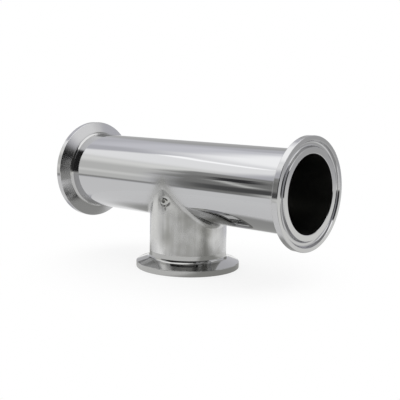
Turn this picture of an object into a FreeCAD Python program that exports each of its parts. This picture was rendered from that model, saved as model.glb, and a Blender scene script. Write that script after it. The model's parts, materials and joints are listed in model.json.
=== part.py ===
# Sanitary tee: a straight run with a short branch of the same tube, each mouth ending in a clamp
# ferrule. It stands on the branch mouth. The origin is the centre of that mouth's face, +X lies
# along the run and +Z points up, away from the branch. Sizes are in millimetres and degrees.
import FreeCAD, Part
import math
import os
import Sketcher
from collections import namedtuple

Vector = FreeCAD.Vector

NODE = "sanitary_tee"

# What a fitting shop would set, each by itself
SIZES = (
    ("tube_diameter", 38.1, "outside of the run"),
    ("outlet_step", 0.25, "how much the drawn branch is smaller than the run, on the radius"),
    ("wall_thickness", 1.5, "tube wall"),
    ("run_length", 140.0, "face to face along the run"),
    ("branch_height", 42.5, "run axis to the branch face"),
    ("flange_diameter", 50.5, "outside of each ferrule's rim"),
    ("rim_thickness", 2.85, "straight rim behind each face"),
    ("cone_angle", 20.0, "slope of the clamped cone, from the plane of the face"),
    ("neck_blend", 1.2, "cone to tube, measured along each of them"),
    ("edge_break", 0.25, "chamfer on both edges of each rim and on the edge of each bore"),
    ("crotch_fillet", 3.0, "outside corner between run and branch"),
    ("gasket_diameter", 43.6, "middle circle of the gasket groove"),
    ("gasket_width", 3.0, "width of the gasket groove at the face"),
    ("gasket_depth", 1.6, "bottom of the gasket groove, below the face"),
    ("gasket_lean", 25.0, "lean of the groove's flanks, from square to the face"),
)

# What follows from them
RESULTS = (
    ("run_radius", "=tube_diameter / 2", "outside of the run"),
    ("run_bore", "=run_radius - wall_thickness", "inside of the run, on the radius"),
    ("branch_radius", "=run_radius - outlet_step", "outside of the branch"),
    ("branch_bore", "=branch_radius - wall_thickness", "inside of the branch, on the radius"),
    ("flange_radius", "=flange_diameter / 2", "outside of the rim"),
    ("run_reach", "=run_length / 2", "crossing of the axes to either face of the run"),
    ("run_cone", "=(flange_radius - run_radius) * tan(cone_angle * 1 deg)", "along the axis"),
    ("branch_cone", "=(flange_radius - branch_radius) * tan(cone_angle * 1 deg)", "the same"),
    ("crotch_round", "=crotch_fillet + wall_thickness", "inside corner, centred as the outside one"),
    ("gasket_outer", "=(gasket_diameter + gasket_width) / 2", "axis to the groove's outer edge"),
    ("gasket_inner", "=(gasket_diameter - gasket_width) / 2", "axis to the groove's inner edge"),
    ("gasket_run_in", "=gasket_depth * tan(gasket_lean * 1 deg)", "how far a flank leans in"),
)

Mouth = namedtuple("Mouth", "name turn outwards reach radius bore cone")

# Each mouth: the turn of its sketches from +X, the way it looks, and the names of its sizes
MOUTHS = (
    Mouth("Right", 0, Vector(1, 0, 0), "run_reach", "run_radius", "run_bore", "run_cone"),
    Mouth("Left", 180, Vector(-1, 0, 0), "run_reach", "run_radius", "run_bore", "run_cone"),
    Mouth(
        "Branch",
        -90,
        Vector(0, 0, -1),
        "branch_height",
        "branch_radius",
        "branch_bore",
        "branch_cone",
    ),
)

# The turn of a tube's circle in its sketch, which sets where the seam of its surface runs
SEAM_TURNS = {"YZ_Plane": 120, "XY_Plane": 0}

FILLET, CHAMFER = ("PartDesign::Fillet", "PartDesign::Chamfer")
EDGE_SIZES = {FILLET: "Radius", CHAMFER: "Size"}

MATCH = 0.01  # an edge is the one looked for when it lies this near to its place
EDGE_SAMPLES = 9  # points tried along an edge where the two tubes may meet
LEAST_CUT = 1.0  # cubic millimetres that a bore or a groove takes away at the least


def make_sheet(doc):
    """Writes the sizes and what follows from them, each with its name as alias and a note."""
    sheet = doc.addObject("Spreadsheet::Sheet", "Sizes")
    for row, (alias, content, note) in enumerate(SIZES + RESULTS, start=1):
        sheet.set(f"A{row}", alias)
        sheet.set(f"B{row}", str(content))
        sheet.set(f"C{row}", note)
        sheet.setAlias(f"B{row}", alias)
    doc.recompute()
    return sheet


def add_sketch(body, name, plane, turn=0):
    """Adds an empty sketch on one of the body's own origin planes, turned in that plane."""
    sketch = body.newObject("Sketcher::SketchObject", name)
    support = next(item for item in body.Origin.OriginFeatures if item.Role == plane)
    sketch.AttachmentSupport = [(support, "")]
    sketch.MapMode = "FlatFace"
    sketch.AttachmentOffset = FreeCAD.Placement(Vector(), FreeCAD.Rotation(Vector(0, 0, 1), turn))
    return sketch


def tie(sketch, kind, *where):
    """Adds a constraint that has no size."""
    sketch.addConstraint(Sketcher.Constraint(kind, *where))


def measure(sketch, size, kind, *where):
    """Adds a dimension and binds it to a size of the sheet."""
    index = sketch.addConstraint(Sketcher.Constraint(kind, *where, 1.0))
    sketch.setExpression(f"Constraints[{index}]", f"Sizes.{size}")


def draw_lines(sketch, points):
    """Draws straight lines from each point to the next."""
    corners = [Vector(along, across, 0) for along, across in points]
    for start, end in zip(corners, corners[1:]):
        sketch.addGeometry(Part.LineSegment(start, end), False)


def add_circle_sketch(body, name, plane, radius):
    """Draws a circle round the origin, its seam turned away from where the tubes meet."""
    sketch = add_sketch(body, name, plane, SEAM_TURNS[plane])
    circle = sketch.addGeometry(Part.Circle(), False)
    tie(sketch, "Coincident", circle, 3, -1, 1)
    measure(sketch, radius, "Radius", circle)
    return sketch


def add_extrusion(body, kind, name, sketch, length, side="One side"):
    """Adds a pad or a pocket of a sketch. One side is down for a pocket and up for a pad."""
    extrusion = body.newObject(kind, name)
    extrusion.Profile = sketch
    extrusion.SideType = side
    extrusion.setExpression("Length", f"Sizes.{length}")
    sketch.Visibility = False
    return extrusion


def add_turning(body, kind, name, sketch):
    """Adds a revolution or a groove of a sketch round the sketch's own horizontal axis."""
    turning = body.newObject(kind, name)
    turning.Profile = sketch
    turning.ReferenceAxis = (sketch, ["H_Axis"])
    sketch.Visibility = False
    return turning


def add_ferrule(body, sheet, mouth):
    """Turns one ferrule's rim and cone, as a solid disc on the end of its tube."""
    sketch = add_sketch(body, f"{mouth.name}FerruleSketch", "XZ_Plane", mouth.turn)
    face = sheet.get(mouth.reach)
    rim = face - sheet.rim_thickness
    neck = rim - sheet.get(mouth.cone)
    section = (
        (neck, 0),
        (neck, sheet.get(mouth.radius)),
        (rim, sheet.flange_radius),
        (face, sheet.flange_radius),
        (face, 0),
        (neck, 0),
    )
    draw_lines(sketch, section)
    back, cone, edge, front, axis = range(len(section) - 1)
    for line, following in ((back, cone), (cone, edge), (edge, front), (front, axis), (axis, back)):
        tie(sketch, "Coincident", line, 2, following, 1)
    tie(sketch, "Vertical", back)
    tie(sketch, "Horizontal", edge)
    tie(sketch, "Vertical", front)
    tie(sketch, "PointOnObject", back, 1, -1)
    tie(sketch, "PointOnObject", front, 2, -1)
    measure(sketch, mouth.radius, "DistanceY", back, 1, back, 2)
    measure(sketch, "flange_radius", "DistanceY", front, 2, front, 1)
    measure(sketch, "rim_thickness", "DistanceX", edge, 1, edge, 2)
    measure(sketch, mouth.cone, "DistanceX", cone, 1, cone, 2)
    measure(sketch, mouth.reach, "DistanceX", -1, 1, front, 2)
    return add_turning(body, "PartDesign::Revolution", f"{mouth.name}Ferrule", sketch)


def add_gasket_groove(body, sheet, mouth):
    """Cuts the groove for a gasket's bead, with leaning flanks and a flat bottom, into one face."""
    sketch = add_sketch(body, f"{mouth.name}GasketSketch", "XZ_Plane", mouth.turn)
    face = sheet.get(mouth.reach)
    floor = face - sheet.gasket_depth
    section = (
        (face, sheet.gasket_outer),
        (floor, sheet.gasket_outer - sheet.gasket_run_in),
        (floor, sheet.gasket_inner + sheet.gasket_run_in),
        (face, sheet.gasket_inner),
        (face, sheet.gasket_outer),
    )
    draw_lines(sketch, section)
    outer, bottom, inner, opening = range(len(section) - 1)
    for line, following in ((outer, bottom), (bottom, inner), (inner, opening), (opening, outer)):
        tie(sketch, "Coincident", line, 2, following, 1)
    tie(sketch, "Vertical", bottom)
    tie(sketch, "Vertical", opening)
    measure(sketch, mouth.reach, "DistanceX", -1, 1, opening, 2)
    measure(sketch, "gasket_depth", "DistanceX", bottom, 1, opening, 2)
    measure(sketch, "gasket_outer", "DistanceY", -1, 1, opening, 2)
    measure(sketch, "gasket_inner", "DistanceY", -1, 1, opening, 1)
    measure(sketch, "gasket_run_in", "DistanceY", bottom, 1, outer, 1)
    measure(sketch, "gasket_run_in", "DistanceY", inner, 2, bottom, 2)
    return add_turning(body, "PartDesign::Groove", f"{mouth.name}GasketGroove", sketch)


def crossing_edges(shape, run_radius, branch_radius):
    """Names the edges where a cylinder along the run meets one along the branch."""
    names = []
    for number, edge in enumerate(shape.Edges, start=1):
        points = edge.discretize(EDGE_SAMPLES)
        on_run = all(abs(math.hypot(p.y, p.z) - run_radius) < MATCH for p in points)
        on_branch = all(abs(math.hypot(p.x, p.y) - branch_radius) < MATCH for p in points)
        if on_run and on_branch:
            names.append(f"Edge{number}")
    return names


def ring_edges(shape, sheet, rings):
    """Names the circles given as mouth, depth behind its face and radius."""
    names = []
    for number, edge in enumerate(shape.Edges, start=1):
        if not isinstance(edge.Curve, Part.Circle):
            continue
        for mouth, depth, radius in rings:
            centre = mouth.outwards * (sheet.get(mouth.reach) - depth)
            near = (edge.Curve.Center - centre).Length < MATCH
            if near and abs(edge.Curve.Radius - radius) < MATCH:
                names.append(f"Edge{number}")
    return names


def add_edge_finish(body, kind, name, size, find_edges, *where):
    """Fillets or chamfers the edges that find_edges names on the body's shape as it is so far."""
    body.Document.recompute()
    base = body.Tip
    names = find_edges(base.Shape, *where)
    if not names:
        raise RuntimeError(f"{name}: no edge found")
    finish = body.newObject(kind, name)
    finish.Base = (base, names)
    finish.setExpression(EDGE_SIZES[kind], f"Sizes.{size}")


def add_outside(body, sheet):
    """Builds the tee as if it were solid bar: both tubes, the ferrules and their outside corners."""
    run = add_circle_sketch(body, "RunTubeSketch", "YZ_Plane", "run_radius")
    add_extrusion(body, "PartDesign::Pad", "RunTube", run, "run_length", "Symmetric")
    branch = add_circle_sketch(body, "BranchTubeSketch", "XY_Plane", "branch_radius")
    add_extrusion(body, "PartDesign::Pad", "BranchTube", branch, "branch_height").Reversed = True
    radii = (sheet.run_radius, sheet.branch_radius)
    add_edge_finish(body, FILLET, "CrotchFillet", "crotch_fillet", crossing_edges, *radii)
    necks, rims = ([], [])
    for mouth in MOUTHS:
        add_ferrule(body, sheet, mouth)
        neck_depth = sheet.rim_thickness + sheet.get(mouth.cone)
        necks.append((mouth, neck_depth, sheet.get(mouth.radius)))
        rims.append((mouth, 0, sheet.flange_radius))
        rims.append((mouth, sheet.rim_thickness, sheet.flange_radius))
    add_edge_finish(body, CHAMFER, "NeckBlend", "neck_blend", ring_edges, sheet, necks)
    add_edge_finish(body, CHAMFER, "RimChamfer", "edge_break", ring_edges, sheet, rims)


def add_inside(body, sheet):
    """Bores the run and the branch, and rounds the ridge where the bores meet."""
    pocket = "PartDesign::Pocket"
    run = add_circle_sketch(body, "RunBoreSketch", "YZ_Plane", "run_bore")
    run_bore = add_extrusion(body, pocket, "RunBore", run, "run_length", "Symmetric")
    branch = add_circle_sketch(body, "BranchBoreSketch", "XY_Plane", "branch_bore")
    branch_bore = add_extrusion(body, pocket, "BranchBore", branch, "branch_height")
    radii = (sheet.run_bore, sheet.branch_bore)
    add_edge_finish(body, FILLET, "CrotchRound", "crotch_round", crossing_edges, *radii)
    mouths = [(mouth, 0, sheet.get(mouth.bore)) for mouth in MOUTHS]
    add_edge_finish(body, CHAMFER, "MouthChamfer", "edge_break", ring_edges, sheet, mouths)
    return [run_bore, branch_bore]


def make_tee(doc, sheet):
    """Builds the tee about the crossing of its axes, then stands it on its branch face."""
    body = doc.addObject("PartDesign::Body", NODE)
    body.Label = NODE
    add_outside(body, sheet)
    cuts = add_inside(body, sheet)
    cuts += [add_gasket_groove(body, sheet, mouth) for mouth in MOUTHS]
    body.setExpression("Placement.Base.z", "Sizes.branch_height")
    doc.recompute()
    return body, cuts


def check(doc, body, cuts):
    """Stops if anything failed, if a cut took nothing away, or if the tee isn't one whole solid."""
    failed = [item.Name for item in doc.Objects if {"Invalid", "Error"} & set(item.State)]
    if failed:
        raise RuntimeError(f"failed: {failed}")
    for cut in cuts:
        if cut.Shape.Volume > cut.BaseFeature.Shape.Volume - LEAST_CUT:
            raise RuntimeError(f"{cut.Name} cuts nothing")
    if body.Shape.isNull() or not body.Shape.isValid() or len(body.Shape.Solids) != 1:
        raise RuntimeError(f"{body.Label} isn't one valid solid")


def main():
    doc = FreeCAD.newDocument("SanitaryTee")
    sheet = make_sheet(doc)
    body, cuts = make_tee(doc, sheet)
    check(doc, body, cuts)
    os.makedirs("parts", exist_ok=True)
    body.Shape.exportStep(os.path.join("parts", f"{NODE}.step"))
    box = body.Shape.BoundBox
    print(f"{NODE}: {box.XLength:.2f} x {box.YLength:.2f} x {box.ZLength:.2f} mm")
    print(f"volume {body.Shape.Volume:.1f} mm3, faces {len(body.Shape.Faces)}")


main()
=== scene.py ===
import json
import math
from collections import namedtuple

import bmesh
import bpy
from bpy.props import FloatProperty, FloatVectorProperty, PointerProperty
from mathutils import Matrix, Vector


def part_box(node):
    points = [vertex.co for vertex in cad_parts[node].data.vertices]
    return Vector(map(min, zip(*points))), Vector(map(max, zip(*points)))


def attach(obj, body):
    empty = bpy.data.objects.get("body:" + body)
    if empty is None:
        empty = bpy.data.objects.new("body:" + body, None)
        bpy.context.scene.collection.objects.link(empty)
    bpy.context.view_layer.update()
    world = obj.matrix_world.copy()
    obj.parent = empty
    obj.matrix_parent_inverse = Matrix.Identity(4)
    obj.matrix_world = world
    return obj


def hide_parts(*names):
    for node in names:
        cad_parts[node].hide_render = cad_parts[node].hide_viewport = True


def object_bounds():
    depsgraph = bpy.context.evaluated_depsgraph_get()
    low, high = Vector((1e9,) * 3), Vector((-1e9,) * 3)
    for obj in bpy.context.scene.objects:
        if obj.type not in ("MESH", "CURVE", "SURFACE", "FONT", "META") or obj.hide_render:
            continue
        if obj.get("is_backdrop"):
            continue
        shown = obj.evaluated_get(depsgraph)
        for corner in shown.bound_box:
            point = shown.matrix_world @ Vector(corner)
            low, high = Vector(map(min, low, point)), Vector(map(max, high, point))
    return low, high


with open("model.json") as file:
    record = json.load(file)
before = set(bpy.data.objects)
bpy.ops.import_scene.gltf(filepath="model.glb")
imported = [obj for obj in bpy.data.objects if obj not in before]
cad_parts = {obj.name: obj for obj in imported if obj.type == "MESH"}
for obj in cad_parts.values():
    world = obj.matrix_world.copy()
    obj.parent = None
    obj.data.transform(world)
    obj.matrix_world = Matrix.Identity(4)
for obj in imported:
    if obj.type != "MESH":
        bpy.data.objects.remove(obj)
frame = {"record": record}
CAD_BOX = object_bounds()

bl_info = {
    "name": "Sanitary tee",
    "version": (1, 0, 0),
    "blender": (4, 5, 0),
    "location": "3D View > Sidebar > Tee",
    "description": "Dresses a drawn clamp tee in polished, brushed and turned steel",
    "category": "Object",
}

NODE = "sanitary_tee"
PIECE = "tee_in_steel"
SHELL = "drawn_tee"
POLISHED = "polished_and_brushed_steel"
TURNED = "turned_steel"
BORED = "bore_steel"
MM = 0.001

# Names of the values that the mesh carries for its finishes and its shading
NORMAL = "true_normal"
BRUSHED = "brushed_share"
ROOM_LIGHT = "room_light"
SECTION_LENGTH = "section_length"

# What the frame says about the tee, in metres
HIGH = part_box(NODE)[1]
MOUNTS = {mount["name"]: mount for mount in frame["record"]["mounts"]}
RUN_REACH = HIGH.x
FLANGE_RADIUS = HIGH.y
AXIS_HEIGHT = HIGH.z - FLANGE_RADIUS
RUN_BORE = MOUNTS["run_bore"]["dims"]["r_mm"] * MM
BRANCH_BORE = MOUNTS["branch_bore"]["dims"]["r_mm"] * MM
RIM_THICKNESS = MOUNTS["branch_rim"]["dims"]["length_mm"] * MM
CROSSING = Vector((0, 0, AXIS_HEIGHT))


class TeeSizes(bpy.types.PropertyGroup):
    """Sizes of the tee that the frame doesn't give."""

    wall: FloatProperty(
        name="Wall", description="Thickness of the tube", default=1.5 * MM, unit="LENGTH"
    )
    crotch: FloatProperty(
        name="Crotch", description="Outside round between the tubes", default=3.0 * MM, unit="LENGTH"
    )
    cone: FloatProperty(
        name="Cone", description="Slope of a ferrule's back", default=math.radians(20), subtype="ANGLE"
    )
    neck: FloatProperty(
        name="Neck", description="Round between cone and tube", default=1.7 * MM, unit="LENGTH"
    )
    edge: FloatProperty(
        name="Edge", description="Round on rims and mouths", default=0.28 * MM, unit="LENGTH"
    )
    groove_outer: FloatProperty(
        name="Groove outside", description="Its radius outside", default=23.3 * MM, unit="LENGTH"
    )
    groove_inner: FloatProperty(
        name="Groove inside", description="Its radius inside", default=20.3 * MM, unit="LENGTH"
    )
    groove_depth: FloatProperty(
        name="Groove depth", description="Depth of the gasket groove", default=1.5 * MM, unit="LENGTH"
    )
    dent: FloatProperty(
        name="Dent", description="Depth of the dent on the branch", default=0.12 * MM, unit="LENGTH"
    )


class FinishLooks(bpy.types.PropertyGroup):
    """Colours and roughness of the steel."""

    polished: FloatVectorProperty(
        name="Polished", description="Run", default=(0.5, 0.502, 0.51), subtype="COLOR"
    )
    # The colour of the stains on the branch, and also of the painted shade in the crease and where it
    # runs out
    stained: FloatVectorProperty(
        name="Stained", description="Stains on the branch", default=(0.37, 0.369, 0.352), subtype="COLOR"
    )
    brushed: FloatVectorProperty(
        name="Brushed", description="Clean branch", default=(0.56, 0.56, 0.56), subtype="COLOR"
    )
    # The colour of the painted highlights: the band down the front of the branch and the strip beside the
    # crease
    bright: FloatVectorProperty(
        name="Bright", description="Band down the branch", default=(0.86, 0.86, 0.86), subtype="COLOR"
    )
    turned: FloatVectorProperty(
        name="Turned", description="Ferrules", default=(0.5, 0.5, 0.505), subtype="COLOR"
    )
    # The colour of the ferrules' painted shade, low on the branch's ferrule and in each neck
    tinted: FloatVectorProperty(
        name="Tinted", description="Ferrule of the branch", default=(0.43, 0.43, 0.422), subtype="COLOR"
    )
    bore: FloatVectorProperty(
        name="Bore", description="Inside of the tubes", default=(0.2, 0.2, 0.19), subtype="COLOR"
    )
    polish_blur: FloatProperty(name="Polish", description="Roughness of the run", default=0.04)
    brush_blur: FloatProperty(name="Brush", description="More roughness on the branch", default=0.16)
    turned_blur: FloatProperty(name="Turning", description="Roughness of a ferrule", default=0.055)
    cone_blur: FloatProperty(name="Cone", description="More roughness on the run's cones", default=0.07)
    bore_blur: FloatProperty(name="Inside", description="Roughness of the bore", default=0.25)


class StageLooks(bpy.types.PropertyGroup):
    """How the camera stands and how narrow its view is."""

    lens: FloatProperty(
        name="Lens", description="Focal length", default=68.56, unit="CAMERA"
    )
    azimuth: FloatProperty(
        name="Azimuth", description="Turn from the front", default=math.radians(40.823), subtype="ANGLE"
    )
    elevation: FloatProperty(
        name="Elevation", description="Camera's height", default=math.radians(8.008), subtype="ANGLE"
    )
    roll: FloatProperty(
        name="Roll", description="Camera's lean", default=math.radians(1.164), subtype="ANGLE"
    )
    distance: FloatProperty(
        name="Distance", description="Camera to its target", default=370.683 * MM, unit="LENGTH"
    )


# Counts of the shell's grid, whose columns run from the branch's neck over the corner and round the run
SIDE_COLUMNS = 144
TOP_COLUMNS = 48
COLUMNS = 2 * (SIDE_COLUMNS + TOP_COLUMNS)
BRANCH_ROWS = 44
CORNER_ROWS = 9
RUN_ROWS = 34
END_ROWS = 8

# The inside keeps every sixth row in the branch and every second in the run
BRANCH_STRIDE = 6
RUN_STRIDE = 2

# How the grid crowds towards the crotch, how far it reaches along the run and where the ferrules begin
COLUMN_CROWDING = 0.45
BRANCH_CROWDING = 2.2
RUN_SPREADING = 1.25
PATCH_REACH = 34 * MM
NECK_MARGIN = 3.2 * MM

# Steps in each round of a ferrule's section, and how near to each other points are welded
ROUND_STEPS = 5
WELD_GAP = 0.002 * MM

# Which of the shell's two materials a face has, and how far a groove's side leans as a share of its depth
OUTSIDE, INSIDE = (0, 1)
GROOVE_LEAN = 0.4

# The dent's middle, from the run's axis to the right and down, and half its width and height
DENT_PLACE = (1.0 * MM, 8.6 * MM)
DENT_WIDTH = 2.6 * MM
DENT_HEIGHT = 1.7 * MM

# The dent's form in its own widths: a ring that deepens to one side, a shallow hollow in its middle and,
# in the material alone, a scratch that runs down from it and a stain. Ring and hollow are given as their
# soft width and depth, the scratch as its place and soft width along and up, its depth and its dirt, and
# the stain as its soft width and how far it hides the steel
DENT_RING = (0.3, 0.75)
DENT_SLOPE = (0.35, -0.3)
DENT_HOLLOW = (0.5, 0.4)
DENT_SCRATCH = ((0.35, 0.18), (-1.6, 0.6), 0.8, 0.5)
DENT_STAIN = (1.1, 0.9)

# Heights from the run's axis: where the polish ends and the brush is full, and where the crease's painted
# shade, roughness and painted highlight strip are gone and are full
BRUSH_FADE = (-8 * MM, -17 * MM)
CREASE_FADE = (-21 * MM, -15 * MM)

# Heights from the floor: where the brush's grain ends and is full, and where the painted shade low on the
# branch's ferrule begins and is darkest
GRAIN_FADE = (8 * MM, 15 * MM)
LOW_SHADE_FADE = (15 * MM, 12 * MM)

# The crease's soft width, painted shade and roughness, and the painted highlight strip beside it on the
# right:
# how far below it lies, its soft width and how bright it is
CREASE_WIDTH = 3.4 * MM
CREASE_SHADE = 0.35
CREASE_BLUR = 0.2
STRIP_DROP = 5 * MM
STRIP_WIDTH = 4 * MM
STRIP_SHARE = 0.4

# The painted shade at the top of the branch where the crease runs out, from the run's axis to the right
# and up, its reach and strength
CREASE_END_PLACE = (1.5 * MM, -6 * MM)
CREASE_END_WIDTH = 8 * MM
CREASE_END_SHADE = 0.3
CREASE_END_BLUR = 0.16

# The side of the branch that is stained, as a direction and the distances where the stain starts and is
# full, the share of it everywhere, the values of its noise where it starts and is full, and how much of
# that noise follows the brush
STAIN_SIDE = (0.77, -0.64)
STAIN_FADE = (6 * MM, 17 * MM)
STAIN_LEAST = 0.15
STAIN_PATCHES = (0.3, 0.68)
BROAD_SHARE = 0.3

# The painted highlight, a bright band down the front of the branch, and the lightening of its right side
BAND_PLACE = 0.3 * MM
BAND_WIDTH = 3.8 * MM
LIGHTER_RIGHT_SIDE = (15 * MM, 18 * MM)
LIGHTER_RIGHT_SHARE = 0.25

# Noise patterns on the drawn tee, as how often they change in a metre, their heights in millimetres and
# the roughness that they add
FINE_BRUSH = (2400, 2400, 40)
BROAD_BRUSH = (420, 420, 25)
PATCHES = (90, 90, 90)
WAVES = (45, 45, 45)
FINE_HEIGHT = 0.001
BROAD_HEIGHT = 0.014
WAVE_HEIGHT = 0.06
FINE_BLUR = 0.05
PATCH_BLUR = 0.1

# Along a ferrule's section: the painted shade in its neck, where its cone starts and ends, and its
# turning lines, as how often they change in a metre, their heights in millimetres and the roughness that
# they add
NECK_SHADE_WIDTH = 1.1 * MM
NECK_SHADE_SHARE = 0.7
CONE_START = (2.8 * MM, 3.8 * MM)
CONE_END = (9.9 * MM, 9.3 * MM)
FINE_LINES = 2600
BROAD_LINES = 700
FINE_LINE_HEIGHT = 0.0003
BROAD_LINE_HEIGHT = 0.001
LINE_BLUR = 0.05

# The grain of the bore
BORE_GRAIN = 400.0
BORE_GRAIN_BLUR = 0.15

# How far the crossing lies to the right of and above the point that the camera looks at
AIM_RIGHT = -5.27 * MM
AIM_UP = 9.764 * MM

# The floor, and the lamp that lights it: its direction from the tee, distance, size and glow
FLOOR_RADIUS = 90 * MM
FLOOR_FADE = 45 * MM
FLOOR_GREY = 0.22
LAMP_DIRECTION = (-72, 42)
LAMP_DISTANCE = 3.0
LAMP_SIZE = (2.2, 1.55)
LAMP_GLOW = 0.28

# The painted shadows of the tee on the floor, dark ovals just over it that only reflections see, each as
# its middle and half its size, then how bright they are and the soft edge that they share
PAINTED_SHADOWS = (
    ((15 * MM, 2 * MM, 0.1 * MM), (100 * MM, 29 * MM)),
    ((-22 * MM, 18 * MM, 0.2 * MM), (46 * MM, 38 * MM)),
    ((16 * MM, 5 * MM, 0.3 * MM), (38 * MM, 33 * MM)),
)
PAINTED_SHADOW_GLOW = 0.45
PAINTED_SHADOW_EDGE = (0.6, 1.0)

# A point of the shell: its place from the crossing of the axes, its normal and how far it is brushed
Spot = namedtuple("Spot", "place normal brushed")

# A point of a ferrule's section: distance from the axis, depth behind the face, normal, length so far
Bend = namedtuple("Bend", "radius depth out back length")

# A mouth: name, turn of the ferrule, place of its face, bore, segments and how far its tube is brushed
Mouth = namedtuple("Mouth", "name turn place bore segments brushed")
MOUTHS = (
    Mouth("right", (0, -math.pi / 2, 0), (RUN_REACH, 0, AXIS_HEIGHT), RUN_BORE, SIDE_COLUMNS, 0.0),
    Mouth("left", (0, math.pi / 2, 0), (-RUN_REACH, 0, AXIS_HEIGHT), RUN_BORE, SIDE_COLUMNS, 0.0),
    Mouth("branch", (0, 0, 0), (0, 0, 0), BRANCH_BORE, COLUMNS, 1.0),
)


def ferrule_depth(sizes, bore):
    """Depth behind the face at which a ferrule's section ends and the drawn tube begins."""
    cone = (FLANGE_RADIUS - bore - sizes.wall) * math.tan(sizes.cone)
    return RIM_THICKNESS + cone + NECK_MARGIN


def run_spot(along, turn, radius):
    """A point on the run, by its length along it and its turn from the bottom towards the back."""
    out = Vector((0, math.sin(turn), -math.cos(turn)))
    return Spot(out * radius + Vector((along, 0, 0)), out, 0)


def patch_edge(column):
    """Where a column leaves the patch: its length along the run and its turn from the bottom."""
    right = SIDE_COLUMNS // 2
    back = right + TOP_COLUMNS
    left = back + SIDE_COLUMNS
    if column <= right:
        return PATCH_REACH, math.pi * column / right
    if column <= back:
        return PATCH_REACH * (1 - 2 * (column - right) / TOP_COLUMNS), math.pi
    if column <= left:
        return -PATCH_REACH, math.pi * (1 - (column - back) / right)
    if column <= left + TOP_COLUMNS:
        return PATCH_REACH * (2 * (column - left) / TOP_COLUMNS - 1), -math.pi
    return PATCH_REACH, math.pi * (column - COLUMNS) / right


def shell_column(sizes, column):
    """The spots of one column, from the branch's neck to the edge of the patch."""
    run, branch = (RUN_BORE + sizes.wall, BRANCH_BORE + sizes.wall)
    even = math.tau * column / COLUMNS
    angle = even + COLUMN_CROWDING * math.sin(2 * even) / 2
    reach = branch + sizes.crotch
    across = reach * math.sin(angle)
    drop = math.sqrt((run + sizes.crotch) ** 2 - across**2)
    ball = Vector((reach * math.cos(angle), across, -drop))
    neck = ferrule_depth(sizes, BRANCH_BORE) - AXIS_HEIGHT
    spots = []
    for row in range(BRANCH_ROWS):
        rise = 1 - (1 - row / BRANCH_ROWS) ** BRANCH_CROWDING
        turn = even + (angle - even) * rise
        out = Vector((math.cos(turn), math.sin(turn), 0))
        spots.append(Spot(out * branch + Vector((0, 0, neck + (ball.z - neck) * rise)), out, 1))
    start = Vector((-math.cos(angle), -math.sin(angle), 0))
    end = Vector((0, -ball.y, -ball.z)).normalized()
    for row in range(CORNER_ROWS):
        share = row / CORNER_ROWS
        spoke = start.slerp(end, share)
        spots.append(Spot(ball + spoke * sizes.crotch, -spoke, 1 - share))
    first = math.atan2(-end.y, end.z)
    along, last = patch_edge(column)
    for row in range(RUN_ROWS + 1):
        share = (row / RUN_ROWS) ** RUN_SPREADING
        spots.append(run_spot(ball.x + (along - ball.x) * share, first + (last - first) * share, run))
    return spots


def end_column(sizes, column, side):
    """The spots of one column of the plain run, from the edge of the patch to the ferrule."""
    turn = math.pi * (2 * column / SIDE_COLUMNS - 1)
    last = RUN_REACH - ferrule_depth(sizes, RUN_BORE)
    lengths = [PATCH_REACH + (last - PATCH_REACH) * row / END_ROWS for row in range(END_ROWS + 1)]
    return [run_spot(side * length, turn, RUN_BORE + sizes.wall) for length in lengths]


def give_values(mesh, name, values):
    """Gives each point of a mesh a number under a name."""
    mesh.attributes.new(name, "FLOAT", "POINT").data.foreach_set("value", values)


class Skin:
    """Gathers grids of spots into one mesh, each grid an outside or an inside."""

    def __init__(self):
        self.places = []
        self.normals = []
        self.brushed = []
        self.faces = []
        self.finishes = []

    def add(self, columns, closed, flip, finish):
        """Adds a grid given as columns of spots, closed round or open, its faces turned over or not."""
        rows = len(columns[0])
        first = len(self.places)
        for column in columns:
            for spot in column:
                self.places.append(spot.place + CROSSING)
                self.normals.append(spot.normal)
                self.brushed.append(spot.brushed)
        count = len(columns)
        for column in range(count if closed else count - 1):
            here, there = (first + column * rows, first + (column + 1) % count * rows)
            for row in range(rows - 1):
                face = (here + row, there + row, there + row + 1, here + row + 1)
                self.faces.append(face[::-1] if flip else face)
                self.finishes.append(finish)

    def mesh(self, name, materials):
        """The gathered mesh, with its normals and its finish as values of its points."""
        mesh = bpy.data.meshes.new(name)
        mesh.from_pydata(self.places, [], self.faces)
        for material in materials:
            mesh.materials.append(material)
        mesh.polygons.foreach_set("material_index", self.finishes)
        normals = mesh.attributes.new(NORMAL, "FLOAT_VECTOR", "POINT")
        normals.data.foreach_set("vector", [part for normal in self.normals for part in normal])
        give_values(mesh, BRUSHED, self.brushed)
        return mesh


def inside(sizes, columns, keep):
    """The inner face of the wall under some rows of an outside grid."""
    inner = []
    for column in columns:
        spots = [column[row] for row in keep]
        inner.append([Spot(s.place - s.normal * sizes.wall, -s.normal, 0) for s in spots])
    return inner


def bell(value):
    """1 where a number is 0, falling smoothly to 0 on both sides within two units."""
    return math.exp(-value * value)


def dent_form(along, above, reach, fall):
    """The dent's depth in its own widths, of numbers or of terms, with the bell that suits them."""
    ring_width, ring_depth = DENT_RING
    hollow_width, hollow_depth = DENT_HOLLOW
    ring = fall((reach - 1) / ring_width) * (ring_depth + along * DENT_SLOPE[0] + above * DENT_SLOPE[1])
    return ring + fall(reach / hollow_width) * hollow_depth


def dented(sizes, spot):
    """Sinks a spot of the outside by the small dent in the front of the branch."""
    if spot.place.y > 0:
        return spot
    along = (spot.place.x - DENT_PLACE[0]) / DENT_WIDTH
    above = (spot.place.z + DENT_PLACE[1]) / DENT_HEIGHT
    depth = sizes.dent * dent_form(along, above, math.hypot(along, above), bell)
    return spot._replace(place=spot.place - spot.normal * depth)


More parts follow.
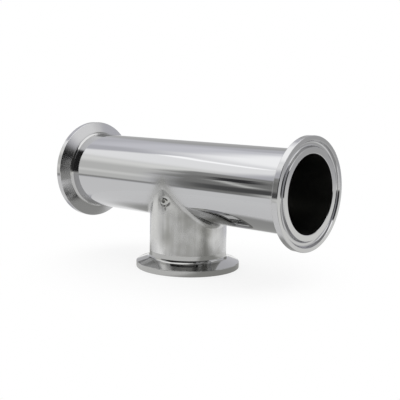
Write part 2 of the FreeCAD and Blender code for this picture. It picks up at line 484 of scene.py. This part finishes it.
def build_shell(sizes):
    """The drawn tee without its ferrules, outside and inside."""
    skin = Skin()
    patch = [shell_column(sizes, column) for column in range(COLUMNS)]
    corner = range(BRANCH_ROWS, BRANCH_ROWS + CORNER_ROWS)
    last = len(patch[0]) - 1
    patch_rows = [
        *range(0, BRANCH_ROWS, BRANCH_STRIDE), *corner, *range(corner.stop, last, RUN_STRIDE), last
    ]
    outer = [[dented(sizes, spot) for spot in column] for column in patch]
    skin.add(outer, closed=True, flip=False, finish=OUTSIDE)
    skin.add(inside(sizes, patch, patch_rows), closed=True, flip=True, finish=INSIDE)
    for side in (1, -1):
        end = [end_column(sizes, column, side) for column in range(SIDE_COLUMNS + 1)]
        skin.add(end, closed=False, flip=side < 0, finish=OUTSIDE)
        inner = inside(sizes, end, (0, END_ROWS // 2, END_ROWS))
        skin.add(inner, closed=False, flip=side > 0, finish=INSIDE)
    return skin


def round_section(corners):
    """Rounds the corners of an open line, each given as radius, depth and how far it is rounded."""
    bends = []
    length = 0
    for index, (radius, depth, size) in enumerate(corners):
        here = Vector((radius, depth))
        into = here - Vector(corners[max(index - 1, 0)][:2])
        out_of = Vector(corners[min(index + 1, len(corners) - 1)][:2]) - here
        if index in (0, len(corners) - 1):
            way = (out_of if index == 0 else into).normalized()
            points = [(here, Vector((-way.y, way.x)))]
        else:
            into.normalize()
            out_of.normalize()
            turn = math.atan2(into.cross(out_of), into.dot(out_of))
            cut = size * math.tan(abs(turn) / 2)
            first = here - into * cut
            left = Vector((-into.y, into.x))
            centre = first + left * math.copysign(size, turn)
            points = []
            for step in range(ROUND_STEPS + 1):
                spin = Matrix.Rotation(turn * step / ROUND_STEPS, 2)
                points.append((centre + spin @ (first - centre), spin @ left))
        for point, normal in points:
            if bends:
                length += (point - Vector((bends[-1].radius, bends[-1].depth))).length
            bends.append(Bend(point.x, point.y, normal.x, normal.y, length))
    return bends


def ferrule_section(sizes, bore):
    """The section of a ferrule from the outside of its tube over rim and face into its bore."""
    tube = bore + sizes.wall
    neck = RIM_THICKNESS + (FLANGE_RADIUS - tube) * math.tan(sizes.cone)
    end = ferrule_depth(sizes, bore)
    lean = GROOVE_LEAN * sizes.groove_depth
    corners = (
        (tube, end, 0),
        (tube, neck, sizes.neck),
        (FLANGE_RADIUS, RIM_THICKNESS, sizes.edge),
        (FLANGE_RADIUS, 0, sizes.edge),
        (sizes.groove_outer, 0, sizes.edge / 2),
        (sizes.groove_outer - lean, sizes.groove_depth, sizes.groove_depth / 2),
        (sizes.groove_inner + lean, sizes.groove_depth, sizes.groove_depth / 2),
        (sizes.groove_inner, 0, sizes.edge / 2),
        (bore, 0, sizes.edge),
        (bore, end, 0),
    )
    return round_section(corners)


def section_mesh(name, bends):
    """A ferrule's section as a chain of edges, with its normals and lengths as values."""
    mesh = bpy.data.meshes.new(name)
    points = [(bend.radius - FLANGE_RADIUS, -bend.depth, 0) for bend in bends]
    mesh.from_pydata(points, [(index, index + 1) for index in range(len(points) - 1)], [])
    normals = mesh.attributes.new(NORMAL, "FLOAT_VECTOR", "POINT")
    for index, bend in enumerate(bends):
        normals.data[index].vector = (bend.out, 0, bend.back)
    give_values(mesh, SECTION_LENGTH, [bend.length for bend in bends])
    return mesh


class Term:
    """A socket whose sums, products and comparisons with numbers or other sockets add Math nodes."""

    def __init__(self, wiring, socket):
        self.wiring = wiring
        self.socket = socket

    def __add__(self, other):
        return self.wiring.math("ADD", self, other)

    def __radd__(self, other):
        return self.wiring.math("ADD", other, self)

    def __sub__(self, other):
        return self.wiring.math("SUBTRACT", self, other)

    def __rsub__(self, other):
        return self.wiring.math("SUBTRACT", other, self)

    def __mul__(self, other):
        return self.wiring.math("MULTIPLY", self, other)

    def __rmul__(self, other):
        return self.wiring.math("MULTIPLY", other, self)

    def __truediv__(self, other):
        return self.wiring.math("DIVIDE", self, other)

    def __gt__(self, other):
        return self.wiring.math("GREATER_THAN", self, other)

    def __lt__(self, other):
        return self.wiring.math("LESS_THAN", self, other)


class Wired:
    """A node that has been added, whose outputs are taken by name or place."""

    def __init__(self, wiring, made):
        self.wiring = wiring
        self.made = made

    def term(self, output=0):
        return Term(self.wiring, self.made.outputs[output])


class Wiring:
    """Adds nodes to one tree and links them."""

    FAMILIES = {
        "ShaderNodeTree": ("ShaderNode",),
        "GeometryNodeTree": ("GeometryNode", "FunctionNode", "ShaderNode"),
    }

    def __init__(self, tree):
        self.tree = tree

    def node(self, kind, settings=None, *values, **named):
        """Adds a node of a kind, sets its settings, then the values or links of its sockets."""
        names = [family + kind for family in self.FAMILIES[self.tree.bl_idname]]
        made = self.tree.nodes.new(next(name for name in names if hasattr(bpy.types, name)))
        for name, setting in (settings or {}).items():
            setattr(made, name, setting)
        sockets = [socket for socket in made.inputs if socket.enabled]
        for socket, value in zip(sockets, values):
            self.feed(socket, value)
        for name, value in named.items():
            self.feed(self.input(made, name), value)
        return Wired(self, made)

    @staticmethod
    def input(made, name):
        """The enabled input whose name, in lower case with underscores, is the one given."""
        for socket in made.inputs:
            if socket.enabled and socket.name.lower().replace(" ", "_") == name:
                return socket
        raise KeyError(f"{made.bl_idname} has no input {name}")

    def math(self, operation, *values):
        """Adds a Math node and gives its result."""
        return self.node("Math", {"operation": operation}, *values).term()

    def bell(self, value):
        """1 where a term is 0, falling smoothly to 0 on both sides within two units."""
        return self.math("EXPONENT", value * value * -1.0)

    def ramp(self, value, low, high):
        """0 where a term is low, 1 where it is high and a smooth change between them."""
        settings = {"interpolation_type": "SMOOTHSTEP"}
        return self.node("MapRange", settings, value, low, high, 0.0, 1.0).term()

    def mix(self, share, first, second):
        """A colour between two others, by a share from 0 to 1."""
        return self.node("Mix", {"data_type": "RGBA"}, share, first, second).term("Result")

    def feed(self, socket, value):
        """Links a term to a socket, or sets the socket's own value."""
        if isinstance(value, Wired):
            value = value.term()
        if isinstance(value, Term):
            self.tree.links.new(value.socket, socket)
        elif socket.type == "RGBA" and len(value) == 3:
            socket.default_value = (*value, 1)
        else:
            socket.default_value = value


def lathe_tree(turned, bore):
    """The tree that turns a ferrule from its section and stands it on its mouth."""
    tree = bpy.data.node_groups.new("Ferrule lathe", "GeometryNodeTree")
    face = tree.interface
    face.new_socket("Section", in_out="INPUT", socket_type="NodeSocketGeometry")
    for name, kind in (
        ("Segments", "NodeSocketInt"),
        ("Rim Radius", "NodeSocketFloat"),
        ("Turned Length", "NodeSocketFloat"),
        ("Turn", "NodeSocketRotation"),
        ("Place", "NodeSocketVector"),
    ):
        face.new_socket(name, in_out="INPUT", socket_type=kind)
    face.new_socket("Ferrule", in_out="OUTPUT", socket_type="NodeSocketGeometry")
    wiring = Wiring(tree)
    given = Wired(wiring, tree.nodes.new("NodeGroupInput"))
    rim = given.term("Rim Radius")
    circle = wiring.node("CurvePrimitiveCircle", None, resolution=given.term("Segments"), radius=rim)
    section = wiring.node("MeshToCurve", None, mesh=given.term("Section"))
    skin = wiring.node("CurveToMesh", None, curve=circle, profile_curve=section)

    place = wiring.node("InputPosition").term()
    flat = wiring.node("VectorMath", {"operation": "MULTIPLY"}, place, (1, 1, 0)).term()
    out = wiring.node("VectorMath", {"operation": "NORMALIZE"}, flat).term()
    held = wiring.node("InputNamedAttribute", {"data_type": "FLOAT_VECTOR"}, name=NORMAL)
    parts = wiring.node("SeparateXYZ", None, held)
    sideways = wiring.node("VectorMath", {"operation": "SCALE"}, out, scale=parts.term("X")).term()
    upwards = wiring.node("CombineXYZ", None, z=parts.term("Z")).term()
    normal = wiring.node("VectorMath", {"operation": "ADD"}, sideways, upwards).term()
    turned_normal = wiring.node("RotateVector", None, vector=normal, rotation=given.term("Turn"))
    stored = wiring.node(
        "StoreNamedAttribute", {"data_type": "FLOAT_VECTOR", "domain": "POINT"},
        geometry=skin, name=NORMAL, value=turned_normal,
    )
    point = wiring.node("Points", None, count=1, position=given.term("Place"))
    stood = wiring.node(
        "InstanceOnPoints", None, points=point, instance=stored, rotation=given.term("Turn")
    )
    real = wiring.node("RealizeInstances", None, geometry=stood)
    length = wiring.node("InputNamedAttribute", {"data_type": "FLOAT"}, name=SECTION_LENGTH).term()
    outside = wiring.node("SetMaterial", None, geometry=real, material=turned)
    within = length > given.term("Turned Length")
    dressed = wiring.node("SetMaterial", None, geometry=outside, selection=within, material=bore)
    end = tree.nodes.new("NodeGroupOutput")
    tree.links.new(dressed.term().socket, end.inputs[0])
    return tree


def new_object(name, mesh):
    """Links a new object for a mesh into the scene."""
    thing = bpy.data.objects.new(name, mesh)
    bpy.context.scene.collection.objects.link(thing)
    return thing


def emptied(owner):
    """The wiring of a material or a world, without the nodes that it starts with."""
    owner.use_nodes = True
    owner.node_tree.nodes.clear()
    return Wiring(owner.node_tree)


def steel(name):
    """The wiring of a new and empty material."""
    return emptied(bpy.data.materials.new(name))


def finish_shader(wiring, **sockets):
    """Ends a metal material in its shader."""
    shader = wiring.node("BsdfPrincipled", None, metallic=1.0, **sockets)
    wiring.node("OutputMaterial", None, surface=shader)


def make_dent(wiring, parts, sizes):
    """The height in millimetres and the stain of the dent, drawn sharper than the mesh has it."""
    front = parts.term("Y") < 0.0
    along = (parts.term("X") - DENT_PLACE[0]) / DENT_WIDTH
    above = (parts.term("Z") - (AXIS_HEIGHT - DENT_PLACE[1])) / DENT_HEIGHT
    reach = wiring.math("SQRT", along * along + above * above)
    (right, width), (up, height), depth, dirt = DENT_SCRATCH
    scratch = wiring.bell((along - right) / width) * wiring.bell((above - up) / height)
    form = dent_form(along, above, reach, wiring.bell) + scratch * depth
    darkening = wiring.bell(reach / DENT_STAIN[0]) + scratch * dirt
    return front * form * (-sizes.dent / MM), front * darkening


def noise(wiring, place, scale, detail):
    """A noise pattern from 0 to 1 in a place that is stretched by a scale for each direction."""
    stretched = wiring.node("Mapping", None, vector=place, scale=scale)
    return wiring.node("TexNoise", None, vector=stretched, scale=1.0, detail=detail).term()


def crease_band(wiring, parts, drop, width):
    """1 along the upper part of the crease between branch and run, or a drop below it."""
    below = parts.term("Z") - AXIS_HEIGHT
    aside = (wiring.math("ABSOLUTE", parts.term("X")) + below + drop) / width
    return wiring.bell(aside) * wiring.ramp(below, *CREASE_FADE)


def crease_end_shade(wiring, parts):
    """1 at the top of the branch, where the crease runs out in a dull patch of painted shade, falling to
    0 round it.
    """
    along = (parts.term("X") - CREASE_END_PLACE[0]) / CREASE_END_WIDTH
    above = (parts.term("Z") - AXIS_HEIGHT - CREASE_END_PLACE[1]) / CREASE_END_WIDTH
    return wiring.bell(wiring.math("SQRT", along * along + above * above)) * (parts.term("Y") < 0.0)


def stain_patches(wiring, parts, broad, patches):
    """The patchy stain on the branch, darkest on the side that faces right and forwards."""
    facing = parts.term("X") * STAIN_SIDE[0] + parts.term("Y") * STAIN_SIDE[1]
    side = STAIN_LEAST + (1 - STAIN_LEAST) * wiring.ramp(facing, *STAIN_FADE)
    pattern = broad * BROAD_SHARE + patches * (1 - BROAD_SHARE)
    return side * wiring.ramp(pattern, *STAIN_PATCHES)


def highlight_band_and_right_side(wiring, parts):
    """How far the brush turns bright: a painted highlight in a band down the front of the branch, and a
    lightening of its right side.
    """
    band = wiring.bell((parts.term("X") - BAND_PLACE) / BAND_WIDTH) * (parts.term("Y") < 0.0)
    return band + LIGHTER_RIGHT_SHARE * wiring.ramp(parts.term("X"), *LIGHTER_RIGHT_SIDE)


def make_polish(looks, sizes):
    """Mirror polish on the run that turns into a vertical brush with stains down the branch, with painted
    shade in the crease and painted highlights on the branch.
    """
    wiring = steel(POLISHED)
    place = wiring.node("TexCoord").term("Object")
    parts = wiring.node("SeparateXYZ", None, place)
    held = wiring.node("Attribute", {"attribute_name": BRUSHED}).term("Fac")
    share = held * wiring.ramp(parts.term("Z") - AXIS_HEIGHT, *BRUSH_FADE)
    fine = noise(wiring, place, FINE_BRUSH, 3.0)
    broad = noise(wiring, place, BROAD_BRUSH, 2.0)
    patches = noise(wiring, place, PATCHES, 2.0)
    waves = noise(wiring, place, WAVES, 0.0)

    # Painted shade along the crease between branch and run
    crease = crease_band(wiring, parts, 0, CREASE_WIDTH)
    # Painted highlight: a bright strip a little below the crease, on its right side
    strip = crease_band(wiring, parts, STRIP_DROP, STRIP_WIDTH)
    strip *= STRIP_SHARE * wiring.ramp(parts.term("X"), 0, STRIP_WIDTH)
    dent, dirt = make_dent(wiring, parts, sizes)
    # Painted shade, with more roughness, where the crease runs out, kept off the dent
    crease_end = crease_end_shade(wiring, parts) * (1 - dirt)

    # The brush with its painted highlight band down the front, and lighter towards its right side
    brushed = wiring.mix(highlight_band_and_right_side(wiring, parts), looks.brushed, looks.bright)
    # Polish or brush, with the painted highlight strip over it
    highlighted = wiring.mix(strip, wiring.mix(share, looks.polished, brushed), looks.bright)
    # Darkening from the stains on the branch and at the dent, and painted shade in the crease and where
    # it runs out
    darkening = share * stain_patches(wiring, parts, broad, patches) + crease * crease * CREASE_SHADE
    darkening += crease_end * CREASE_END_SHADE + dirt * DENT_STAIN[1]
    colour = wiring.mix(darkening, highlighted, looks.stained)

    blur = share * (looks.brush_blur + FINE_BLUR * fine + PATCH_BLUR * patches)
    blur += crease * CREASE_BLUR + crease_end * CREASE_END_BLUR + looks.polish_blur
    grain = share * wiring.ramp(parts.term("Z"), *GRAIN_FADE)
    height = waves * WAVE_HEIGHT + grain * (fine * FINE_HEIGHT + broad * BROAD_HEIGHT) + dent
    bump = wiring.node("Bump", None, strength=1.0, distance=MM, height=height)
    finish_shader(wiring, base_color=colour, roughness=blur, normal=bump)


def turning_lines(wiring, length, count, detail):
    """A noise pattern that changes only along a ferrule's section, so many times in a metre."""
    settings = {"noise_dimensions": "1D"}
    return wiring.node("TexNoise", settings, w=length * count, detail=detail).term()


def make_turned(looks):
    """Fine turning lines round the ferrules, with painted shade in their necks and low on the branch's
    ferrule.
    """
    wiring = steel(TURNED)
    length = wiring.node("Attribute", {"attribute_name": SECTION_LENGTH}).term("Fac")
    fine = turning_lines(wiring, length, FINE_LINES, 2.0)
    broad = turning_lines(wiring, length, BROAD_LINES, 0.0)
    # Painted shade on the low part of the branch's ferrule, darkest near the floor
    height = wiring.node("SeparateXYZ", None, wiring.node("TexCoord").term("Object")).term("Z")
    low = wiring.ramp(height, *LOW_SHADE_FADE)
    cone = wiring.ramp(length, *CONE_START) * wiring.ramp(length, *CONE_END) * (1 - low)
    # Share of painted shade: low on the branch's ferrule and in each ferrule's neck
    tint = low + wiring.bell((length - NECK_MARGIN) / NECK_SHADE_WIDTH) * NECK_SHADE_SHARE
    colour = wiring.mix(tint, looks.turned, looks.tinted)
    lines = fine * FINE_LINE_HEIGHT + broad * BROAD_LINE_HEIGHT
    bump = wiring.node("Bump", None, strength=1.0, distance=MM, height=lines)
    blur = looks.turned_blur + LINE_BLUR * fine + looks.cone_blur * cone
    finish_shader(wiring, base_color=colour, roughness=blur, normal=bump)


def make_bore(looks):
    """The dull inside of the tubes."""
    wiring = steel(BORED)
    place = wiring.node("TexCoord").term("Object")
    grain = wiring.node("TexNoise", None, vector=place, scale=BORE_GRAIN, detail=2.0).term()
    blur = looks.bore_blur + BORE_GRAIN_BLUR * grain
    finish_shader(wiring, base_color=looks.bore, roughness=blur)


class TEE_OT_finishes(bpy.types.Operator):
    """Make the polished, brushed, turned and bored finishes"""

    bl_idname = "tee.finishes"
    bl_label = "Make finishes"

    def execute(self, context):
        looks = context.scene.tee_finish
        make_polish(looks, context.scene.tee_sizes)
        make_turned(looks)
        make_bore(looks)
        return {"FINISHED"}


class TEE_OT_shell(bpy.types.Operator):
    """Build the drawn tee with its wall and the rounds in its crotch"""

    bl_idname = "tee.shell"
    bl_label = "Build drawn tee"

    def execute(self, context):
        materials = [bpy.data.materials[name] for name in (POLISHED, BORED)]
        new_object(SHELL, build_shell(context.scene.tee_sizes).mesh(SHELL, materials))
        return {"FINISHED"}


class TEE_OT_ferrules(bpy.types.Operator):
    """Turn the three clamp ferrules"""

    bl_idname = "tee.ferrules"
    bl_label = "Turn ferrules"

    def execute(self, context):
        sizes = context.scene.tee_sizes
        tree = lathe_tree(bpy.data.materials[TURNED], bpy.data.materials[BORED])
        sockets = {item.name: item.identifier for item in tree.interface.items_tree}
        for mouth in MOUTHS:
            bends = ferrule_section(sizes, mouth.bore)
            blank = new_object("blank", section_mesh("section", bends))
            lathe = blank.modifiers.new("Lathe", "NODES")
            lathe.node_group = tree
            lathe[sockets["Segments"]] = mouth.segments
            lathe[sockets["Rim Radius"]] = FLANGE_RADIUS
            lathe[sockets["Turned Length"]] = bends[-2].length
            lathe[sockets["Turn"]] = mouth.turn
            lathe[sockets["Place"]] = mouth.place
            graph = context.evaluated_depsgraph_get()
            name = f"ferrule_{mouth.name}"
            mesh = bpy.data.meshes.new_from_object(blank.evaluated_get(graph))
            mesh.name = name
            give_values(mesh, BRUSHED, [mouth.brushed] * len(mesh.vertices))
            new_object(name, mesh)
            bpy.data.objects.remove(blank)
        return {"FINISHED"}


class TEE_OT_weld(bpy.types.Operator):
    """Weld shell and ferrules into one closed skin that stands for the tee"""

    bl_idname = "tee.weld"
    bl_label = "Weld the pieces"

    def execute(self, context):
        names = [SHELL] + [f"ferrule_{mouth.name}" for mouth in MOUTHS]
        pieces = [bpy.data.objects[name] for name in names]
        with context.temp_override(
            active_object=pieces[0], selected_objects=pieces, selected_editable_objects=pieces
        ):
            bpy.ops.object.join()
        tee = pieces[0]
        tee.name = tee.data.name = PIECE
        whole = bmesh.new()
        whole.from_mesh(tee.data)
        bmesh.ops.remove_doubles(whole, verts=whole.verts, dist=WELD_GAP)
        open_edges = [edge for edge in whole.edges if not edge.is_manifold]
        whole.to_mesh(tee.data)
        whole.free()
        if open_edges:
            raise RuntimeError(f"the welded tee has {len(open_edges)} open edges")
        tee.data.shade_smooth()
        held = tee.data.attributes[NORMAL]
        normals = [Vector(item.vector).normalized() for item in held.data]
        tee.data.normals_split_custom_set_from_vertices(normals)
        tee.data.attributes.remove(tee.data.attributes[NORMAL])
        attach(tee, "root")
        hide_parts(NODE)
        return {"FINISHED"}


# A board on the wall of the room that the steel mirrors: the direction of its middle, half its width and
# height, the width of its soft edge and its lean, all in degrees, then how bright it is and its tint
Board = namedtuple("Board", "name azimuth elevation wide tall soft lean glow tint")
PLAIN, COOL, WARM = ((1, 1, 1), (0.98, 0.98, 1.04), (1.0, 1.0, 0.97))
WALL_GLOW = 0.68
BOARDS = (
    Board("floor all round", 0, -56, 181, 43.5, 3, 0, 0.87, PLAIN),
    # The darker floor at the left and at the right is the tee's painted shadow on the floor, as the steel
    # mirrors it
    Board("floor at the left", -115, -45, 26, 14, 16, 0, 0.55, COOL),
    Board("floor at the right", 88, -22, 30, 9, 12, 0, 0.36, PLAIN),
    Board("floor behind right", 147, -13, 24, 5, 6, 0, 0.69, PLAIN),
    Board("overhead", 0, 78, 181, 30, 11, 0, 1.48, PLAIN),
    Board("left wall", -108, 45, 16, 6, 10, 0, 0.88, COOL),
    Board("softbox", -60, 39, 16, 9.5, 6, 0, 1.24, PLAIN),
    Board("strip", -65, 45.5, 11, 0.8, 1.4, 0, 1.75, PLAIN),
    Board("front wall", -57, 8, 13, 17, 5, 0, 0.76, WARM),
    Board("front wall, top", -57, 26, 13, 5, 9, 0, 1.08, WARM),
    Board("front wall, foot", -57, 3, 13, 2.5, 5, 0, 0.94, WARM),
    Board("table gap", -52, -9.8, 9, 1.7, 1.6, 0, 0.38, WARM),
    Board("dark room", 27, 6.5, 70, 19, 2, 0, 0.27, WARM),
    Board("dark room, corner", -44.5, 22.5, 2.2, 3.5, 2.6, 0, 0.33, WARM),
    Board("dark room, edge", -42.5, 15, 2, 5, 2.4, 0, 0.28, WARM),
    Board("dark room, top", -36, 22, 8, 3, 5, 0, 0.35, WARM),
    Board("dark room, foot", -33, -2, 7.5, 5, 4, 0, 0.1, PLAIN),
    Board("camera side", 22, 25, 50, 30, 6, 0, 0.04, PLAIN),
    Board("sill", 58, -9.5, 93, 3, 3, 0, 0.95, WARM),
    Board("sill at the left", -84, -9.5, 22, 3.5, 3, 0, 1.0, WARM),
    Board("sill, bright end", 90, -9.5, 24, 3.5, 8, 0, 1.12, WARM),
    Board("sill at the right", 90, -11, 7, 12, 3, 0, 0.34, WARM),
    Board("dark streak", -38.9, 16.8, 2.1, 3.4, 1, 15, 0.045, COOL),
    Board("light streak", -37.5, 9, 4.5, 0.8, 0.9, -62, 0.8, WARM),
    Board("right dark", 90, 5, 17, 10, 4, 0, 0.01, PLAIN),
    Board("right light", 122, 26, 20, 9, 9, 0, 1.08, PLAIN),
    Board("right wall", 147, 0, 14, 6, 6, 0, 0.52, PLAIN),
    Board("backdrop", -138, -2, 14, 6, 4, 0, 1.05, PLAIN),
    Board("rear wall", 165, 42, 30, 13, 8, 0, 0.42, PLAIN),
    Board("rear left wall", -137, 20, 12, 14, 8, 0, 0.5, PLAIN),
    Board("rear room", -172, 10, 12, 12, 4, 0, 0.3, WARM),
)
ROOM_STRENGTH = 1.12
ROOM_RADIUS = 3.0


def smooth_step(low, high, value):
    """0 at low, 1 at high and a smooth change between them."""
    share = min(max((value - low) / (high - low), 0), 1)
    return share * share * (3 - 2 * share)


def room_light(azimuth, elevation):
    """The colour of the room's wall in a direction, each board lying over the ones before it."""
    colour = Vector(COOL) * WALL_GLOW
    for board in BOARDS:
        along = (azimuth - board.azimuth + 180) % 360 - 180
        above = elevation - board.elevation
        lean = math.radians(board.lean)
        across = abs(along * math.cos(lean) + above * math.sin(lean))
        upwards = abs(above * math.cos(lean) - along * math.sin(lean))
        share = smooth_step(board.wide + board.soft / 2, board.wide - board.soft / 2, across)
        share *= smooth_step(board.tall + board.soft / 2, board.tall - board.soft / 2, upwards)
        if share:
            colour = colour.lerp(Vector(board.tint) * board.glow, share)
    return colour


def direction(azimuth, elevation):
    """The unit vector towards an azimuth from the front and an elevation, in degrees."""
    azimuth, elevation = (math.radians(azimuth), math.radians(elevation))
    level = math.cos(elevation)
    return Vector((math.sin(azimuth) * level, -math.cos(azimuth) * level, math.sin(elevation)))


def add_room():
    """Builds the round room, seen only in reflections, with its light as a colour of its points."""
    turns, rises = (range(-180, 180), range(-90, 91))
    points = [(azimuth, elevation) for elevation in rises for azimuth in turns]
    count = len(turns)
    faces = []
    for row in range(len(rises) - 1):
        for column in range(count):
            here, there = (row * count + column, row * count + (column + 1) % count)
            faces.append((here, here + count, there + count, there))
    mesh = bpy.data.meshes.new("room")
    mesh.from_pydata([direction(*point) * ROOM_RADIUS for point in points], [], faces)
    colours = mesh.attributes.new(ROOM_LIGHT, "FLOAT_COLOR", "POINT")
    values = [part for point in points for part in (*room_light(*point), 1)]
    colours.data.foreach_set("color", values)
    material = bpy.data.materials.new("room")
    wiring = emptied(material)
    light = wiring.node("Attribute", {"attribute_name": ROOM_LIGHT}).term("Color")
    glow = wiring.node("Emission", None, light, ROOM_STRENGTH)
    wiring.node("OutputMaterial", None, surface=glow)
    material.cycles.emission_sampling = "NONE"
    mesh.materials.append(material)
    room = new_object("room", mesh)
    room.location = CROSSING
    room.visible_camera = room.visible_diffuse = room.visible_shadow = room.visible_transmission = False
    room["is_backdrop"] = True


def add_painted_shadow(place, reach):
    """Lays a painted shadow, a dark oval with a soft edge just over the floor, seen only in reflections.
    """
    mesh = bpy.data.meshes.new("flag")
    rim = [direction(turn, 0) for turn in range(0, 360, 6)]
    mesh.from_pydata(rim, [], [range(len(rim))])
    material = bpy.data.materials.new("flag")
    wiring = emptied(material)
    around = wiring.node("TexCoord").term("Object")
    distance = wiring.node("VectorMath", {"operation": "LENGTH"}, around).term("Value")
    edge = wiring.ramp(distance, *PAINTED_SHADOW_EDGE)
    shade = wiring.node("Emission", None, WARM, PAINTED_SHADOW_GLOW)
    clear = wiring.node("BsdfTransparent")
    wiring.node("OutputMaterial", None, surface=wiring.node("MixShader", None, edge, shade, clear))
    mesh.materials.append(material)
    flag = new_object("flag", mesh)
    flag.location = place
    flag.scale = (*reach, 1)
    flag.visible_camera = flag.visible_diffuse = flag.visible_shadow = flag.visible_transmission = False
    flag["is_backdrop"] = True


def add_lamp():
    """Hangs the soft lamp that lights the floor."""
    data = bpy.data.lights.new("softbox", "AREA")
    data.shape = "RECTANGLE"
    data.size, data.size_y = LAMP_SIZE
    data.energy = LAMP_GLOW * math.pi * data.size * data.size_y
    lamp = new_object("softbox", data)
    towards = direction(*LAMP_DIRECTION)
    turn = towards.to_track_quat("Z", "Y")
    lamp.matrix_world = Matrix.LocRotScale(CROSSING + towards * LAMP_DISTANCE, turn, None)
    lamp.visible_glossy = False


class TEE_OT_stage(bpy.types.Operator):
    """Set the floor, the light, the room and the camera"""

    bl_idname = "tee.stage"
    bl_label = "Set the stage"

    def execute(self, context):
        stage = context.scene.tee_stage
        self.set_camera(context, stage)
        self.set_floor()
        self.set_world(context)
        add_room()
        for flag in PAINTED_SHADOWS:
            add_painted_shadow(*flag)
        add_lamp()
        context.scene.view_settings.view_transform = "Standard"
        return {"FINISHED"}

    def set_camera(self, context, stage):
        """Stands the camera where its turn, height, lean and distance put it."""
        level = Vector((math.cos(stage.azimuth), math.sin(stage.azimuth), 0))
        back = direction(math.degrees(stage.azimuth), math.degrees(stage.elevation))
        upright = back.cross(level)
        right = level * math.cos(stage.roll) + upright * math.sin(stage.roll)
        up = upright * math.cos(stage.roll) - level * math.sin(stage.roll)
        target = CROSSING - right * AIM_RIGHT - up * AIM_UP
        turn = Matrix((right, up, back)).transposed()
        data = bpy.data.cameras.new("camera")
        data.lens = stage.lens
        camera = new_object("camera", data)
        place = target + back * stage.distance
        camera.matrix_world = Matrix.LocRotScale(place, turn.to_quaternion(), None)
        context.scene.camera = camera

    def set_floor(self):
        """Lays a pale round floor that keeps the tee's shadow and ends in the white behind it."""
        mesh = bpy.data.meshes.new("floor")
        rim = [direction(turn, 0) * FLOOR_RADIUS for turn in range(0, 360, 3)]
        mesh.from_pydata(rim, [], [range(len(rim))])
        material = bpy.data.materials.new("floor")
        wiring = emptied(material)
        rays = wiring.node("LightPath")
        seen = rays.term("Is Camera Ray") + rays.term("Is Glossy Ray") + rays.term("Is Transmission Ray")
        place = wiring.node("TexCoord").term("Object")
        reach = wiring.node("VectorMath", {"operation": "LENGTH"}, place).term("Value")
        edge = wiring.ramp(reach, FLOOR_FADE, FLOOR_RADIUS)
        matt = wiring.node("BsdfDiffuse", None, (FLOOR_GREY,) * 3)
        glow = wiring.node("Emission", None, (1, 1, 1), seen * (1 - FLOOR_GREY))
        both = wiring.node("AddShader", None, matt, glow)
        white = wiring.node("Emission", None, (1, 1, 1), seen)
        whole = wiring.node("MixShader", None, edge, both, white)
        wiring.node("OutputMaterial", None, surface=whole)
        mesh.materials.append(material)
        new_object("floor", mesh)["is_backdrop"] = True

    def set_world(self, context):
        """Gives plain white light from all round."""
        world = bpy.data.worlds.new("studio")
        context.scene.world = world
        wiring = emptied(world)
        glow = wiring.node("Background", None, (1, 1, 1), 1.0)
        wiring.node("OutputWorld", None, surface=glow)


class TEE_PT_steps(bpy.types.Panel):
    """The steps that build the tee, with its sizes and looks"""

    bl_idname = "TEE_PT_steps"
    bl_label = "Sanitary tee"
    bl_space_type = "VIEW_3D"
    bl_region_type = "UI"
    bl_category = "Tee"

    def draw(self, context):
        for step in STEPS:
            self.layout.operator(step.bl_idname)
        for name, kind in GROUPS.items():
            box = self.layout.box()
            for value in kind.__annotations__:
                box.prop(getattr(context.scene, name), value)


STEPS = (TEE_OT_finishes, TEE_OT_shell, TEE_OT_ferrules, TEE_OT_weld, TEE_OT_stage)
GROUPS = {"tee_sizes": TeeSizes, "tee_finish": FinishLooks, "tee_stage": StageLooks}
CLASSES = (*GROUPS.values(), *STEPS, TEE_PT_steps)


def register():
    for kind in CLASSES:
        bpy.utils.register_class(kind)
    for name, kind in GROUPS.items():
        setattr(bpy.types.Scene, name, PointerProperty(type=kind))


def unregister():
    for name in GROUPS:
        delattr(bpy.types.Scene, name)
    for kind in reversed(CLASSES):
        bpy.utils.unregister_class(kind)


def main():
    register()
    bpy.ops.tee.finishes()
    bpy.ops.tee.shell()
    bpy.ops.tee.ferrules()
    bpy.ops.tee.weld()
    bpy.ops.tee.stage()
    boxes = {"cad": CAD_BOX, "visual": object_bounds()}
    {name: [list(corner) for corner in box] for name, box in boxes.items()}


if __name__ == "__main__":
    main()
